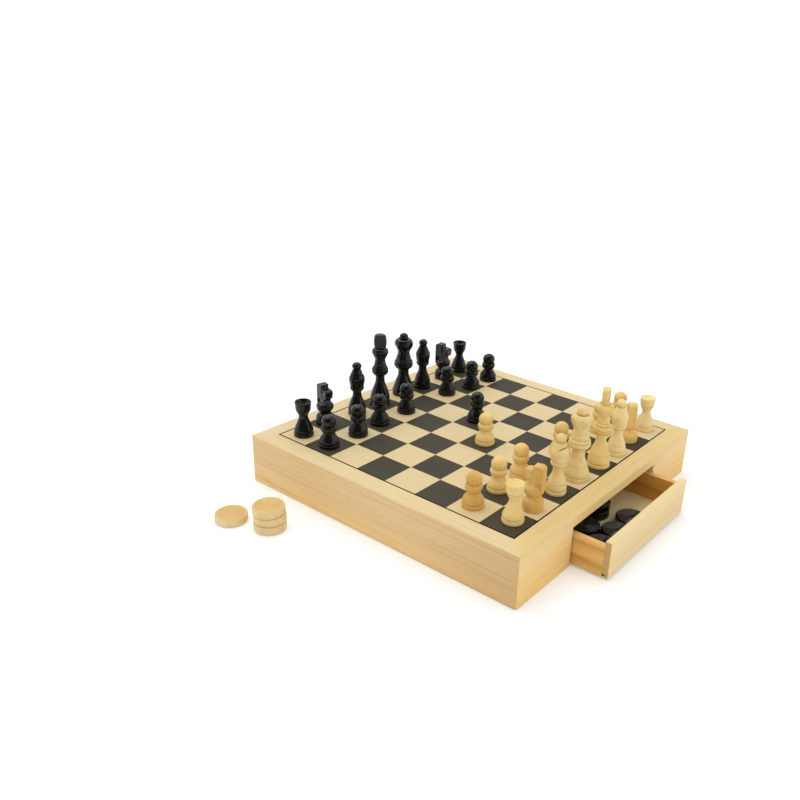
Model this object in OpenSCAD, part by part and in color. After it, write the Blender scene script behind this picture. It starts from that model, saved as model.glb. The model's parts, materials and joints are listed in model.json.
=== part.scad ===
// Wooden games box: a square pine case with two drawers, a drop-in board that turns over
// (chequered on one face, nine men's morris on the other), 32 turned and sawn chessmen and
// 24 draughts. Millimetres, +Z up, origin at the middle of the underside.
// The +X drawer is drawn partly open and the men stand a few moves into a game.

/* [Playing board] */
// Side of one square of the chequered face
square = 31.75; // [24:0.25:40]
// Thickness of the drop-in board
board_t = 5; // [4:0.5:7]
// Open seam left all round the drop-in board
seam = 0.8; // [0.4:0.1:1.2]
// Depth to which the printed figures are let into the board
print_t = 0.3; // [0.2:0.1:0.8]
// Bare line left between dark squares that meet at their corners
print_inset = 0.4; // [0.1:0.1:1]
// Width of the nine men's morris lines
morris_line = 2; // [1:0.25:4]
// Bare margin from the board's edge to the middle of the outer morris line
morris_margin = 20; // [10:1:40]

/* [Case] */
// Height of the case
box_h = 45; // [38:1:60]
// Plain rim from the outer face of the case to the chequered squares
rim = 18; // [15:0.5:26]
// Radius of the eased upper edges of the case
edge_r = 2; // [1:0.25:4]
// Radius of the case's upright corners
corner_r = 2.5; // [1:0.5:6]
// Height of solid wood above each drawer opening
band_h = 9.5; // [8:0.5:14]
// Thickness of the floor panel
floor_t = 1.5; // [1:0.5:4]
// Width of the rabbet in the walls that takes the floor panel
floor_rabbet = 6; // [3:0.5:9]
// Width of the ledge strips that carry the board
ledge_w = 6; // [4:0.5:10]
// Thickness of the divider between the two drawers
divider_t = 6; // [4:0.5:10]
// Thickness of each drawer guide
guide_t = 8; // [5:0.5:12]

/* [Drawers] */
// Width of a drawer
drawer_w = 136.5; // [100:0.5:165]
// Gap on each side of a drawer in its opening
side_gap = 2.25; // [0.5:0.25:3]
// Gap above a drawer's front in its opening
top_gap = 2; // [0.5:0.25:4]
// How much lower the drawer sides and back are than the front
side_drop = 4.75; // [0:0.25:8]
// How far the middle of the drawers lies behind (+) or before (-) the middle of the case
lane_y = -1; // [-4:0.5:4]
// Gap behind a closed drawer
back_gap = 1.5; // [0.5:0.5:5]
// Thickness of the drawer front
front_t = 5.5; // [4.5:0.5:9]
// Thickness of the drawer sides and back
side_t = 5; // [4:0.5:8]
// Thickness of the drawer bottom
bottom_t = 2; // [1.5:0.5:4]
// Height of the bottom's groove above the drawer's lower edge
groove_up = 1; // [1:0.5:6]
// Depth of the bottom's groove in the front and the sides
groove_in = 3; // [1.5:0.5:3.5]
// How far the +X drawer stands open as drawn
open_by = 33; // [0:1:60]

/* [Men] */
// Diameter of a rook's base; the other small men differ from it by less than a millimetre
base_d = 17.5; // [14:0.5:22]
// Diameter of a queen's base
queen_d = 21.6; // [17:0.2:26]
// Diameter of a king's base
king_d = 19.8; // [16:0.2:24]
// Height of a pawn
pawn_h = 29.6; // [24:0.2:38]
// Height of a rook
rook_h = 32.5; // [26:0.5:42]
// Height of a knight
knight_h = 38.5; // [31:0.5:50]
// Height of a bishop
bishop_h = 52; // [41:0.5:65]
// Height of a queen
queen_h = 64.5; // [52:0.5:80]
// Height of a king
king_h = 71.5; // [58:0.5:88]
// Thickness of a knight's sawn head
knight_t = 8; // [6:0.5:11]
// Thickness of the king's sawn finial
finial_t = 6.8; // [5:0.2:9]
// Width of the saw cut in a bishop's head
mitre_slot = 0.9; // [0.6:0.1:1.6]
// Diameter of a draught
draught_d = 26.5; // [20:0.5:32]
// Thickness of a draught
draught_t = 7; // [4:0.25:9]

/* [Hidden] */
$fn = 96;
pine = "#e3c48c";
pale = "#ecd7a6";
ply = "#dcc293";
ebony = "#17171a";
print_black = "#2c2a26";

board_w = 8 * square;
half = board_w / 2 + rim;
recess = board_w / 2 + seam;
board_z = box_h - board_t;
opening_h = box_h - band_h;
opening_w = drawer_w + 2 * side_gap;
drawer_h = opening_h - floor_t - top_gap;
drawer_d = half - divider_t / 2 - back_gap;
inner_w = drawer_w - 2 * side_t;
tray_z = floor_t + groove_up + bottom_t;
ledge_gap = 0.1;
layer_gap = 0.1;
cut = 1;

men_black = "dark";
men_pale = "pale";
// Each man: name, kind, colour, place in squares from the corner nearest the -X -Y edges, turn.
men = [
    ["dark_rook_near", "rook", men_black, 0.495, 0.43, 0],
    ["dark_knight_near", "knight", men_black, 0.34, 1.385, -13],
    ["dark_bishop_near", "bishop", men_black, 0.52, 2.5, 24],
    ["dark_king", "king", men_black, 0.48, 3.53, 43],
    ["dark_queen", "queen", men_black, 0.44, 4.64, 0],
    ["dark_bishop_far", "bishop", men_black, 0.507, 5.496, 140],
    ["dark_knight_far", "knight", men_black, 0.477, 6.585, 5],
    ["dark_rook_far", "rook", men_black, 0.42, 7.54, 0],
    ["dark_pawn_1", "pawn", men_black, 1.53, 0.42, 0],
    ["dark_pawn_2", "pawn", men_black, 1.59, 1.47, 0],
    ["dark_pawn_3", "pawn", men_black, 1.5, 2.45, 0],
    ["dark_pawn_4", "pawn", men_black, 1.49, 3.62, 0],
    ["dark_pawn_5", "pawn", men_black, 3.445, 4.58, 0],
    ["dark_pawn_6", "pawn", men_black, 1.47, 5.6, 0],
    ["dark_pawn_7", "pawn", men_black, 1.7, 6.58, 0],
    ["dark_pawn_8", "pawn", men_black, 1.69, 7.53, 0],
    ["pale_rook_near", "rook", men_pale, 7.56, 0.586, 0],
    ["pale_knight_near", "knight", men_pale, 7.59, 1.39, 188],
    ["pale_bishop_near", "bishop", men_pale, 7.58, 2.47, -1],
    ["pale_queen", "queen", men_pale, 7.555, 3.504, 0],
    ["pale_king", "king", men_pale, 7.64, 4.55, -63],
    ["pale_bishop_far", "bishop", men_pale, 7.647, 5.53, 120],
    ["pale_knight_far", "knight", men_pale, 7.515, 6.54, 125],
    ["pale_rook_far", "rook", men_pale, 7.5, 7.62, 0],
    ["pale_pawn_1", "pawn", men_pale, 6.42, 0.524, 0],
    ["pale_pawn_2", "pawn", men_pale, 6.405, 1.57, 0],
    ["pale_pawn_3", "pawn", men_pale, 6.39, 2.58, 0],
    ["pale_pawn_4", "pawn", men_pale, 4.55, 3.52, 0],
    ["pale_pawn_5", "pawn", men_pale, 6.44, 4.48, 0],
    ["pale_pawn_6", "pawn", men_pale, 6.46, 5.5, 0],
    ["pale_pawn_7", "pawn", men_pale, 6.54, 6.52, 0],
    ["pale_pawn_8", "pawn", men_pale, 6.6, 7.64, 0],
];

// Draughts on the table before the case: name, X, distance of the centre from the case's
// front face, height in draughts.
table_draughts = [
    ["table_draught", -103.3, 56, 0],
    ["stack_draught_lower", -70.3, 43, 0],
    ["stack_draught_middle", -70.9, 42.2, 1],
    ["stack_draught_upper", -71.6, 42.6, 2],
];

// Points on an ellipse in a profile, from angle a0 to angle a1.
function arc(c, rx, rz, a0, a1, n = 6) =
    [for (k = [0 : n]) let (a = a0 + (a1 - a0) * k / n) [c[0] + rx * cos(a), c[1] + rz * sin(a)]];

// Points on a smooth curve through the given points, with n steps from each to the next.
function curve(p, n = 2) = [
    for (i = [0 : len(p) - 2]) let (
        a = p[max(i - 1, 0)],
        b = p[i],
        c = p[i + 1],
        d = p[min(i + 2, len(p) - 1)]
    ) for (k = [0 : n - 1]) let (t = k / n)
        b + t / 2 * (c - a + t * (2 * a - 5 * b + 4 * c - d + t * (3 * (b - c) + d - a))),
    p[len(p) - 1]
];

// A profile drawn at one base radius and height, carried to another.
function fit(points, drawn_r, drawn_h, r, h) =
    [for (p = points) [p[0] * r / drawn_r, p[1] * h / drawn_h]];

// ---------- case ----------

module rounded_square(w, r) {
    union() {
        square([w, w - 2 * r], center = true);
        square([w - 2 * r, w], center = true);
        for (sx = [-1, 1], sy = [-1, 1]) translate([sx * (w / 2 - r), sy * (w / 2 - r)]) circle(r);
    }
}

// Cross-section of a wall: x runs outwards from the centre of the case, y is height.
module wall_section() {
    difference() {
        polygon(concat(
            [[recess, 0], [half, 0]],
            arc([half - edge_r, box_h - edge_r], edge_r, edge_r, 0, 90),
            [[recess, box_h]]
        ));
        translate([recess - cut, -cut]) square([floor_rabbet + cut, floor_t + cut]);
    }
}

// One mitred wall on the +X side.
module mitred_wall() {
    long = 2 * half;
    intersection() {
        translate([0, long / 2, 0]) rotate([90, 0, 0]) linear_extrude(long) wall_section();
        linear_extrude(box_h) polygon([[0, 0], [half, -half], [half, half]]);
        linear_extrude(box_h) rounded_square(2 * half, corner_r);
    }
}

module opening_cut() {
    translate([0, lane_y - opening_w / 2, -cut]) cube([half + cut, opening_w, opening_h + cut]);
}

module right_wall() color(pine) difference() {
    mitred_wall();
    opening_cut();
}

module left_wall() color(pine) mirror([1, 0, 0]) difference() {
    mitred_wall();
    opening_cut();
}

module front_wall() color(pine) rotate(-90) mitred_wall();

module back_wall() color(pine) rotate(90) mitred_wall();

module floor_panel() color(ply) {
    side = 2 * (recess + floor_rabbet);
    translate([-side / 2, -side / 2, 0]) cube([side, side, floor_t]);
}

module centre_divider() color(pine)
    translate([-divider_t / 2, lane_y - opening_w / 2, floor_t])
        cube([divider_t, opening_w, board_z - floor_t]);

// A guide stands beside the drawers' path, with its near face at that Y, under the ledges.
module guide(near_face)
    translate([-recess, near_face, floor_t]) cube([2 * recess, guide_t, opening_h - floor_t]);

module front_guide() color(pine) guide(lane_y - opening_w / 2 - guide_t);

module back_guide() color(pine) guide(lane_y + opening_w / 2);

// Four strips, glued inside the walls with a hair's gap at each corner, that carry the board.
module board_ledges() color(pine) for (k = [0 : 3]) rotate(90 * k)
    translate([recess - ledge_w, -recess, opening_h])
        cube([ledge_w, 2 * recess - ledge_w - ledge_gap, board_z - opening_h]);

// ---------- board ----------

module chequer() {
    for (i = [0 : 7], j = [0 : 7]) if ((i + j) % 2 == 1)
        translate([(i - 3.5) * square, (j - 3.5) * square]) square(square - print_inset, center = true);
}

// Three nested squares joined at the middles of their sides.
module morris_figure() {
    ring = (board_w / 2 - morris_margin) / 3;
    for (k = [1 : 3]) difference() {
        square(2 * k * ring + morris_line, center = true);
        square(2 * k * ring - morris_line, center = true);
    }
    for (a = [0, 90, 180, 270]) rotate(a)
        translate([ring, -morris_line / 2]) square([2 * ring, morris_line]);
}

module playing_board() color(pale) translate([0, 0, board_z]) difference() {
    translate([-board_w / 2, -board_w / 2, 0]) cube([board_w, board_w, board_t]);
    translate([0, 0, board_t - print_t]) linear_extrude(print_t + cut) chequer();
    translate([0, 0, -cut]) linear_extrude(print_t + cut) morris_figure();
}

module chequer_print() color(print_black)
    translate([0, 0, box_h - print_t]) linear_extrude(print_t) chequer();

module morris_print() color(print_black)
    translate([0, 0, board_z]) linear_extrude(print_t) morris_figure();

// ---------- drawers ----------
// A drawer is drawn closed on the +X side about the plane Y = 0, with its lower edge on the floor
// panel, and then moved to the drawers' lane.

module bottom_board() {
    translate([half - drawer_d, groove_in - drawer_w / 2, floor_t + groove_up])
        cube([drawer_d - front_t + groove_in, drawer_w - 2 * groove_in, bottom_t]);
}

// The groove runs out of the front's two ends.
module drawer_front() difference() {
    translate([half - front_t, -drawer_w / 2, floor_t]) cube([front_t, drawer_w, drawer_h]);
    translate([half - front_t - cut, -drawer_w / 2 - cut, floor_t + groove_up])
        cube([groove_in + cut, drawer_w + 2 * cut, bottom_t]);
}

module drawer_side(s) difference() {
    translate([half - drawer_d, s > 0 ? drawer_w / 2 - side_t : -drawer_w / 2, floor_t])
        cube([drawer_d - front_t, side_t, drawer_h - side_drop]);
    bottom_board();
}

module drawer_back()
    translate([half - drawer_d, -inner_w / 2, tray_z])
        cube([side_t, inner_w, floor_t + drawer_h - side_drop - tray_z]);

module on_right() translate([open_by, lane_y, 0]) children();

module on_left() translate([0, lane_y, 0]) mirror([1, 0, 0]) children();

module right_drawer_front() color(pine) on_right() drawer_front();
module right_drawer_near_side() color(pine) on_right() drawer_side(-1);
module right_drawer_far_side() color(pine) on_right() drawer_side(1);
module right_drawer_back() color(pine) on_right() drawer_back();
module right_drawer_bottom() color(ply) on_right() bottom_board();
module left_drawer_front() color(pine) on_left() drawer_front();
module left_drawer_near_side() color(pine) on_left() drawer_side(-1);
module left_drawer_far_side() color(pine) on_left() drawer_side(1);
module left_drawer_back() color(pine) on_left() drawer_back();
module left_drawer_bottom() color(ply) on_left() bottom_board();

// ---------- draughts ----------

// Half section: eased rims and turned grooves on each face, at these shares of the radius.
groove_places = [0.78, 0.58, 0.38, 0.18];

function draught_profile() = let (
    r = draught_d / 2,
    t = draught_t,
    e = 1.2,
    g = 0.5,
    upper = concat(
        arc([r - e, t - e], e, e, 0, 90, 4),
        [for (q = groove_places) each [[r * q + g, t], [r * q, t - g], [r * q - g, t]]]
    )
) concat(
    [[0, 0]],
    [for (k = [len(upper) - 1 : -1 : 0]) [upper[k][0], t - upper[k][1]]],
    upper,
    [[0, t]]
);

module draught() rotate_extrude() polygon(draught_profile());

// The draughts tipped into the +X drawer. Each entry is the middle of one, counted in draughts:
// back from the front board, in from the near side, and up.
heap = [
    [0.675, 2.92, 0], [0.645, 1.9, 0], [0.67, 0.89, 0],
    [1.575, 1.505, 0], [1.755, 0.51, 0],
    [1.86, 2.635, 0], [1.86, 2.635, 1],
    [2.625, 1.97, 0], [2.7, 0.915, 0], [2.885, 2.99, 0],
    [3.64, 1.445, 0], [3.87, 2.46, 0],
];

module dark_draughts() color(ebony) on_right() for (d = heap)
    translate([
        half - front_t - d[0] * draught_d,
        d[1] * draught_d - inner_w / 2,
        tray_z + d[2] * (draught_t + layer_gap)
    ]) draught();

// In the -X drawer: two rows of three and one of two.
pitch = draught_d + 0.5;
row_margin = 4.5;

module pale_draughts() color(pale) on_left() for (row = [0 : 2], k = [0 : (row == 2 ? 1 : 2)])
    translate([
        half - front_t - row_margin - draught_d / 2 - row * pitch,
        (k - 1) * pitch,
        tray_z
    ]) draught();

module table_draught(name) color(pale) for (d = table_draughts) if (d[0] == name)
    translate([d[1], -half - d[2], d[3] * draught_t]) draught();

// ---------- chessmen ----------

// Each profile is a row of smooth curves; where two meet, the turner's tool left a crease.

// The foot disc and the groove above it.
function foot(r) = concat(
    [[0, 0]],
    arc([r - 0.8, 0.8], 0.8, 0.8, -90, 0, 3),
    arc([r - 0.5, 2.6], 0.5, 0.5, 0, 80, 2),
    [[r - 0.8, 3.5]]
);

function pawn_profile() = concat(
    foot(8.9),
    curve([[8.6, 4], [8.65, 5.2], [7.6, 7.2], [6.4, 9], [5.4, 10.9], [4.8, 12.4], [4.6, 13.6]]),
    curve([[5.3, 14], [6.5, 15], [7, 16.6], [6.9, 18.2], [6.2, 19.5], [5.6, 19.9]]),
    arc([0, 23.15], 6.45, 6.45, -29, 90, 10)
);

function rook_profile() = concat(
    foot(8.75),
    curve([[8.45, 4], [8.55, 5.4], [8, 7.3], [7.2, 9.4], [6.3, 11.8], [5.2, 14.5], [4.4, 16.8], [4, 19.2]]),
    curve([[4, 19.2], [4.4, 21.2], [5.3, 22.5], [6.1, 24], [6.6, 26], [6.9, 29], [7.2, 31.2], [7.3, 32.3]]),
    [[7.1, 32.5], [6.7, 32.5], [4.3, 31.2], [0, 31]]
);

// The round part of a knight: a drum, a waist and a barrel that the head rises from.
function knight_body_profile() = concat(
    [[0, 0]],
    arc([7.5, 0.9], 0.9, 0.9, -90, 0, 3),
    curve([[8.4, 2], [8.45, 5.5], [8.1, 7.8], [7.2, 9.4], [6, 10.3]]),
    curve([[5.6, 10.8], [5.3, 11.6], [5.7, 12.6], [6.8, 13.9], [7.6, 15.6], [7.9, 17.4]]),
    curve([[7.9, 17.4], [7.5, 19.2], [6, 20.6], [3.4, 21.4], [0, 21.6]])
);

function bishop_profile() = concat(
    foot(8.5),
    curve([[8.2, 4], [8.35, 5.6], [8, 8.4], [7.4, 11.2]]),
    curve([[7.2, 11.6], [6.5, 13.7], [5.5, 15.9], [4.6, 18.1], [4.2, 20.6], [4.4, 23]]),
    curve([[5, 23.5], [6.3, 24.8], [6.9, 26.3], [6.3, 27.9]]),
    curve([[6.4, 28.3], [6.95, 29.4], [6.4, 30.9]]),
    curve([[6.6, 31.4], [7.3, 33.3], [7.6, 35.3], [7.3, 37.6]]),
    curve([[7.3, 37.6], [6.3, 40.4], [5, 43], [4.1, 45.2], [3.8, 46.6]]),
    arc([0, 48.9], 4.5, 3.1, -32, 90, 7)
);

function queen_profile() = concat(
    foot(10.8),
    curve([[10.5, 4], [10.6, 5.4], [9.9, 8.6], [9, 11.2]]),
    curve([[8.8, 11.6], [7.4, 15.4], [6, 19.5], [5.3, 23.6], [5.4, 26.6]]),
    curve([[5.8, 27.2], [8.2, 29.4], [9.2, 32], [9.2, 34.8], [8.3, 36.9]]),
    curve([[7.6, 37.2], [7.5, 38.4], [6.8, 40.8], [6.1, 43.6], [6.1, 45.8], [6.7, 47.8]]),
    curve([[6.7, 47.8], [8, 50.2], [9, 52.6], [9.1, 54.8], [8.5, 56.8], [7.2, 57.9]]),
    [[5.8, 58], [4.2, 57.2], [3.2, 57.2]],
    arc([0, 60.1], 4.6, 4.4, -42, 90, 9)
);

function king_profile() = concat(
    foot(9.9),
    curve([[9.6, 4], [9.75, 5.4], [9.2, 8.8], [8.5, 11.8]]),
    curve([[8.3, 12.2], [6.9, 15.8], [5.4, 20.2], [4.4, 25], [4.4, 28.6]]),
    curve([[4.8, 29.4], [6.9, 31.2], [7.9, 33.6], [7.9, 35.8], [7.3, 37.3]]),
    curve([[6.9, 37.6], [7, 38.8], [6.2, 40.8]]),
    curve([[6, 41.2], [6, 42.4], [5.2, 44.2], [4.95, 46.4], [5.6, 48.8]]),
    curve([[5.6, 48.8], [7.1, 51.4], [7.9, 53.6], [7.8, 55.8], [6.8, 57.4]]),
    [[5.6, 57.8]]
);

function finial_profile() = concat(
    [[0, finial_from], [5.1, finial_from]],
    curve([[5.1, finial_from], [5.8, 60], [6.1, 63.6], [5.9, 67.6]]),
    curve([[5.9, 67.6], [5.5, 69.6], [4.6, 70.9], [2.8, 71.4], [0, 71.5]])
);

module turned(points, drawn_r, drawn_h, r, h) rotate_extrude() polygon(fit(points, drawn_r, drawn_h, r, h));

// Height at which the king's finial starts, as drawn.
finial_from = 57.8;

// A bishop's saw cut starts this far from the axis, slopes up from there to the +X side, and
// would meet the axis at this share of the bishop's height.
slot_from = 2.3;
slot_level = 0.72;
slot_slope = 35;

// A knight looks along +X: its back is sawn flat and its brow and muzzle step down in front.
function knight_outline() = concat(
    [[-6.6, 15], [-7.7, 17.4]],
    curve([[-7.8, 34.6], [-7.3, 36.4], [-5.8, 37.7], [-3.6, 38.4], [-1, 38.4], [0.7, 37.9], [1.2, 36.8]]),
    curve([[1.3, 34.4], [2.2, 33.7], [6.2, 33.2], [7.6, 32.5], [8, 31.2]]),
    curve([[8, 28.8], [7.3, 27.1], [4.9, 25.6], [3.2, 25], [2.9, 24.1]]),
    curve([[2.9, 24.1], [4.2, 22.4], [5.9, 19.8], [6.8, 17.4]]),
    [[6.4, 15]]
);

module knight_head(h)
    rotate([90, 0, 0]) translate([0, 0, -knight_t / 2]) linear_extrude(knight_t)
        polygon(fit(knight_outline(), 8.75, 38.4, base_d / 2, h));

module man(kind) {
    if (kind == "pawn") turned(pawn_profile(), 8.75, 29.6, base_d / 2, pawn_h);
    if (kind == "rook") turned(rook_profile(), 8.75, 32.5, base_d / 2, rook_h);
    if (kind == "bishop") difference() {
        turned(bishop_profile(), 8.75, 52, base_d / 2, bishop_h);
        translate([0, -base_d / 2, bishop_h * slot_level]) rotate([0, -slot_slope, 0])
            translate([slot_from / cos(slot_slope), 0, 0]) cube([base_d, base_d, mitre_slot]);
    }
    if (kind == "queen") turned(queen_profile(), 10.8, 64.5, queen_d / 2, queen_h);
    if (kind == "king") union() {
        turned(concat(king_profile(), [[0, finial_from]]), 9.9, 71.5, king_d / 2, king_h);
        intersection() {
            turned(finial_profile(), 9.9, 71.5, king_d / 2, king_h);
            translate([-king_d / 2, -finial_t / 2, 0]) cube([king_d, finial_t, king_h + cut]);
        }
    }
    if (kind == "knight") union() {
        turned(knight_body_profile(), 8.75, 38.4, base_d / 2, knight_h);
        intersection() {
            knight_head(knight_h);
            cylinder(h = knight_h + cut, d = base_d - 1);
        }
    }
}

module chessman(m) color(m[2] == men_black ? ebony : pale)
    translate([(m[3] - 4) * square, (m[4] - 4) * square, box_h]) rotate(m[5]) man(m[1]);

front_wall();
back_wall();
left_wall();
right_wall();
floor_panel();
centre_divider();
front_guide();
back_guide();
board_ledges();
playing_board();
chequer_print();
morris_print();
right_drawer_front();
right_drawer_near_side();
right_drawer_far_side();
right_drawer_back();
right_drawer_bottom();
left_drawer_front();
left_drawer_near_side();
left_drawer_far_side();
left_drawer_back();
left_drawer_bottom();
dark_draughts();
pale_draughts();
for (d = table_draughts) table_draught(d[0]);
for (m = men) chessman(m);
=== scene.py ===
"""Looks of the games box: a pine case with two drawers, a drop-in chequered board, turned
chessmen and draughts. Metres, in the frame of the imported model. Outlines are written in mm."""

import json
import math

import bmesh
import bpy
from mathutils import Matrix, Vector

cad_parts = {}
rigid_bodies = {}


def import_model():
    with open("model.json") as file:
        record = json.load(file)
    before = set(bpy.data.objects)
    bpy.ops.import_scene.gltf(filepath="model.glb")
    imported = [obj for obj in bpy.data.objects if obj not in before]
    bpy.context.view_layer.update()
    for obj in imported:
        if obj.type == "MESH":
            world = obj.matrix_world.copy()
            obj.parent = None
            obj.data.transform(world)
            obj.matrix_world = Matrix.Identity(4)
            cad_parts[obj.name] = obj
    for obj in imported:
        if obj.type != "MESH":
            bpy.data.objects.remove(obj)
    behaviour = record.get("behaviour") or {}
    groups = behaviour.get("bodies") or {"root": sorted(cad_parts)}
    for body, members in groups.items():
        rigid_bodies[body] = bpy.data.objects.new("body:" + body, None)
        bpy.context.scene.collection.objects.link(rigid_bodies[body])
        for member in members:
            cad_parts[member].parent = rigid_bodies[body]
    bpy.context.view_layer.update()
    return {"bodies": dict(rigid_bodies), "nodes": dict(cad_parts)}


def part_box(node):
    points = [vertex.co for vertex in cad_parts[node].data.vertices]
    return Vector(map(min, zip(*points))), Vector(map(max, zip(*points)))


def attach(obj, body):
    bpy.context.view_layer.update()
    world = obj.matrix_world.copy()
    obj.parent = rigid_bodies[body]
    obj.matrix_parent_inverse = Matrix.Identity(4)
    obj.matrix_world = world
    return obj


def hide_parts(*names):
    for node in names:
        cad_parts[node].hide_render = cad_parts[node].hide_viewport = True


MM = 0.001
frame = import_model()
nodes = frame["nodes"]


# ---------- camera, light and floor ----------

# The photo's camera, solved from the board's squares and the case's corners. The rows are its
# right, up and backward directions.
CAMERA_PLACE = (0.39302, -0.54890, 0.36115)
CAMERA_ROWS = (
    (0.79949575, 0.59822264, 0.05418681),
    (-0.27671902, 0.28674453, 0.91717182),
    (0.53313518, -0.74826950, 0.39479062),
)
LENS_MM = 36.2
SENSOR_MM = 36
SHIFT = (-0.1033, 0.0077)
CLIP = (0.01, 60)

WHITE = (1, 1, 1, 1)
WORLD_COLOUR = (1.0, 0.99, 0.97, 1)
WORLD_LIGHT = 0.76
# Towards this side gloss sees a dark studio. The edge is given in cosines.
DARK_SIDE = (0.53, -0.75, 0.39)
DARK_EDGE = (0.45, 0.75)
DARK_LEVEL = 0.12

FLOOR_COLOUR = (0.89, 0.92, 0.96, 1)
FLOOR_HALF = 8.0
FLOOR_DROP = 0.2 * MM
# The floor's own glow, near the box and far from it, and the distances between which it changes.
NEAR_GLOW = 0.22
FAR_GLOW = 0.4
GLOW_CHANGE = (0.9, 3.0)

# Place, size and watts of the lamps, which look at the origin.
LAMPS = {"key": ((-0.7, 0.1, 1.7), 1.8, 14), "fill": ((1.8, 0.1, 0.6), 1.4, 2.5)}


def add_camera():
    data = bpy.data.cameras.new("camera")
    data.lens = LENS_MM
    data.sensor_width = SENSOR_MM
    data.shift_x, data.shift_y = SHIFT
    data.clip_start, data.clip_end = CLIP
    camera = bpy.data.objects.new("camera", data)
    turn = Matrix(CAMERA_ROWS).transposed().to_4x4()
    camera.matrix_world = Matrix.Translation(CAMERA_PLACE) @ turn
    bpy.context.scene.collection.objects.link(camera)
    bpy.context.scene.camera = camera


def rgb(code):
    """Linear colour from an sRGB hex code."""
    parts = [int(code[k:k + 2], 16) / 255 for k in (1, 3, 5)]
    linear = [c / 12.92 if c <= 0.04045 else ((c + 0.055) / 1.055) ** 2.4 for c in parts]
    return (*linear, 1.0)


def add(tree, kind, inputs=None, **settings):
    """A shader node with its settings, and its inputs set or linked by name or number."""
    node = tree.nodes.new("ShaderNode" + kind)
    for key, value in settings.items():
        setattr(node, key, value)
    for key, value in (inputs or {}).items():
        if isinstance(value, bpy.types.NodeSocket):
            tree.links.new(value, node.inputs[key])
        else:
            node.inputs[key].default_value = value
    return node


def maths(tree, operation, a, b=0.0):
    return add(tree, "Math", {0: a, 1: b}, operation=operation).outputs[0]


def total(tree, first, *others):
    for other in others:
        first = maths(tree, "ADD", first, other)
    return first


def product(tree, first, *others):
    for other in others:
        first = maths(tree, "MULTIPLY", first, other)
    return first


def rest_of(tree, share):
    """1 less a share."""
    return maths(tree, "SUBTRACT", 1.0, share)


def within(tree, value, low, high):
    """1 between low and high, 0 outside."""
    above = maths(tree, "GREATER_THAN", value, low)
    return product(tree, above, maths(tree, "LESS_THAN", value, high))


def mixed(tree, factor, a, b):
    return add(tree, "Mix", {0: factor, 6: a, 7: b}, data_type="RGBA").outputs[2]


def ramp(tree, value, low, high, to_low=0.0, to_high=1.0):
    """Carries value from low..high to to_low..to_high, with eased ends."""
    node = add(
        tree, "MapRange", {"Value": value, 1: low, 2: high, 3: to_low, 4: to_high},
        interpolation_type="SMOOTHSTEP",
    )
    return node.outputs[0]


def seen_ray(tree):
    """1 for rays from the camera and for rays that gloss or glass sends on."""
    path = add(tree, "LightPath").outputs
    either = maths(tree, "MAXIMUM", path["Is Camera Ray"], path["Is Glossy Ray"])
    return maths(tree, "MAXIMUM", either, path["Is Transmission Ray"])


def add_world():
    """White all round, but for a dark side of the studio that only gloss shows."""
    world = bpy.data.worlds.new("studio")
    bpy.context.scene.world = world
    world.use_nodes = True
    tree = world.node_tree
    tree.nodes.clear()
    way = add(tree, "TexCoord").outputs["Generated"]
    toward = add(tree, "VectorMath", {0: way, 1: DARK_SIDE}, operation="DOT_PRODUCT")
    gloss = ramp(tree, toward.outputs["Value"], *DARK_EDGE, 1.0, DARK_LEVEL)
    is_gloss = add(tree, "LightPath").outputs["Is Glossy Ray"]
    level = total(tree, product(tree, is_gloss, maths(tree, "SUBTRACT", gloss, 1.0)), 1.0)
    light = add(tree, "Background", {"Color": WORLD_COLOUR, "Strength": WORLD_LIGHT})
    seen = add(tree, "Background", {"Color": WHITE, "Strength": level})
    mix = add(tree, "MixShader", {0: seen_ray(tree), 1: light.outputs[0], 2: seen.outputs[0]})
    add(tree, "OutputWorld", {"Surface": mix.outputs[0]})


def add_floor():
    mesh = bpy.data.meshes.new("floor")
    corners = ((-1, -1), (1, -1), (1, 1), (-1, 1))
    places = [(x * FLOOR_HALF, y * FLOOR_HALF, -FLOOR_DROP) for x, y in corners]
    mesh.from_pydata(places, [], [(0, 1, 2, 3)])
    floor = bpy.data.objects.new("floor", mesh)
    bpy.context.scene.collection.objects.link(floor)
    material, tree = new_material("pale_floor")
    paint = add(tree, "BsdfDiffuse", {"Color": FLOOR_COLOUR})
    # The lamps fade far off, so the floor's own glow makes up for them there.
    far = add(tree, "VectorMath", {0: piece_coords(tree)}, operation="LENGTH").outputs["Value"]
    level = ramp(tree, far, *GLOW_CHANGE, NEAR_GLOW, FAR_GLOW)
    glow = add(tree, "Emission", {"Color": WHITE, "Strength": product(tree, seen_ray(tree), level)})
    both = add(tree, "AddShader", {0: paint.outputs[0], 1: glow.outputs[0]})
    add(tree, "OutputMaterial", {"Surface": both.outputs[0]})
    mesh.materials.append(material)


def add_lamp(name, place, size, watts):
    data = bpy.data.lights.new(name, "AREA")
    data.shape = "SQUARE"
    data.size = size
    data.energy = watts
    lamp = bpy.data.objects.new(name, data)
    lamp.location = place
    lamp.rotation_euler = (-Vector(place)).to_track_quat("-Z", "Y").to_euler()
    bpy.context.scene.collection.objects.link(lamp)


# ---------- materials ----------

AXES = {"X": 0, "Y": 1, "Z": 2}
# Each seed shifts a material's noises by this much along the axes, and its dashes by more.
SEED_STEP = (0.371, 0.173, 0.293)
DASH_SEED = 40
# How far planks' grain and dashes are drawn out, and how their growth lines lie: slanted over
# the cross axes, swaying in metres over a long and a short distance.
GRAIN_STRETCH = 30.0
DASH_STRETCH = 7.0
LINE_SLANT = 0.83
LINE_SWAY = 0.055
LINE_TREMBLE = 0.0035
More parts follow.
